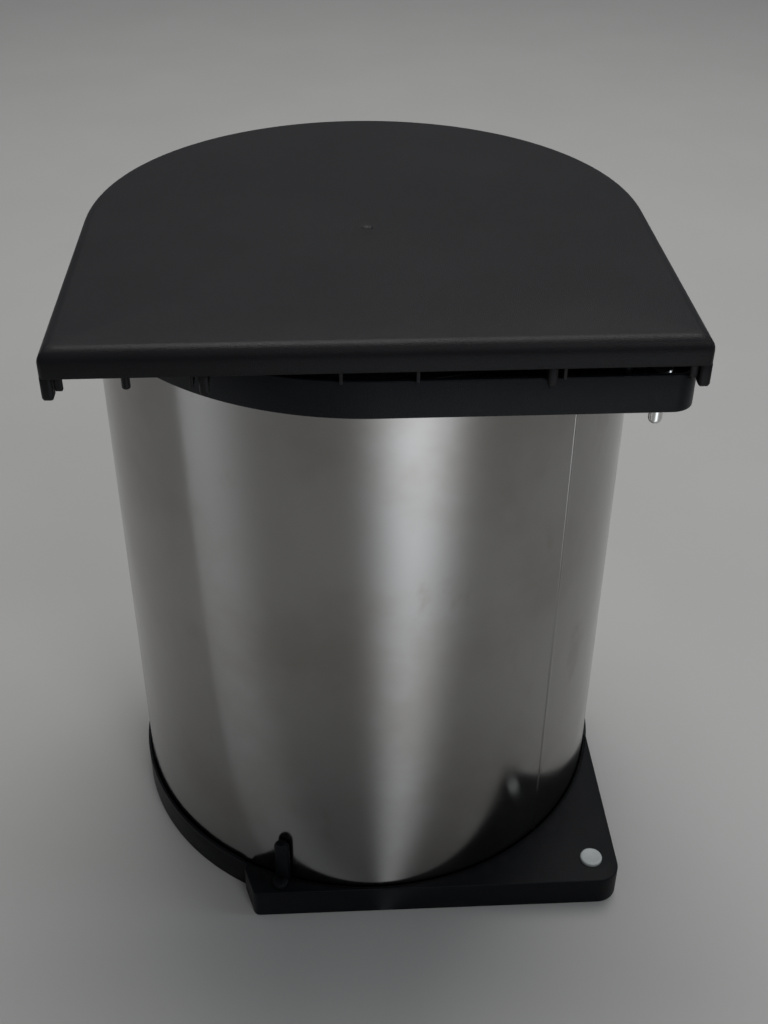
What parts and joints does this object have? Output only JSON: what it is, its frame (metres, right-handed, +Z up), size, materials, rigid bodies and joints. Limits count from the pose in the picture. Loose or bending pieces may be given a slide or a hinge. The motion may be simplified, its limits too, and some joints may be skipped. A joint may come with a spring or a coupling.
{
  "type": "built-in swing-out kitchen bin",
  "caption": "Round swing-out kitchen bin with a steel shell, black plastic base, arm and lid, and a lift-out bucket, hung on a vertical pivot in a cabinet.",
  "frame": {"origin": "centre of the base's foot, on the axis of the round body, at floor level", "axes": "+Z up; -Y towards the straight front edge of the lid; +X towards the pivot corner"},
  "size_m": [0.2696, 0.2723, 0.3472],
  "materials": {
    "black_plastic": "moulded, satin",
    "lid_plastic": "fine grained, matt",
    "soft_buffer": "matt",
    "white_nylon": "satin",
    "stainless_sheet": "satin, lightly smudged",
    "bright_steel": "bright zinc",
    "bucket_plastic": "moulded, satin",
    "grip_plastic": "moulded, satin"
  },
  "bodies": {
    "bin": {"base_tray": "black_plastic", "base_bush": "white_nylon", "stop_post": "black_plastic", "post_screw": "bright_steel", "steel_shell": "stainless_sheet", "top_frame": "black_plastic", "frame_rivets": "bright_steel", "base_rivets": "bright_steel"},
    "pivot": {"pivot_pin": "bright_steel", "pin_clip": "bright_steel"},
    "lid": {"lid_plate": "lid_plastic", "lid_buffers": "soft_buffer"},
    "bucket": {"inner_bucket": "bucket_plastic"},
    "bail": {"bail_wire": "bright_steel", "bail_grip": "grip_plastic"}
  },
  "joints": [
    {"name": "swing_out", "type": "hinge", "parent": "bin", "child": "pivot", "pos_m": [0.1182, -0.1196, 0.306], "axis": [0, 0, 1], "range_deg": [0, 110]},
    {"name": "lid_lift", "type": "slide", "parent": "bin", "child": "lid", "axis": [0, 0, 1], "range_m": [0, 0.5]},
    {"name": "bucket_lift", "type": "slide", "parent": "bin", "child": "bucket", "axis": [0, 0, 1], "range_m": [0, 0.322]},
    {"name": "bail_raise", "type": "hinge", "parent": "bucket", "child": "bail", "pos_m": [0, 0, 0.3278], "axis": [1, 0, 0], "range_deg": [0, 90]}
  ],
  "couplings": [
    {"joint": "bucket_lift", "follows": "lid_lift", "ratio": 0.644},
    {"joint": "bail_raise", "follows": "lid_lift", "rad_per_m": 3.1415}
  ]
}
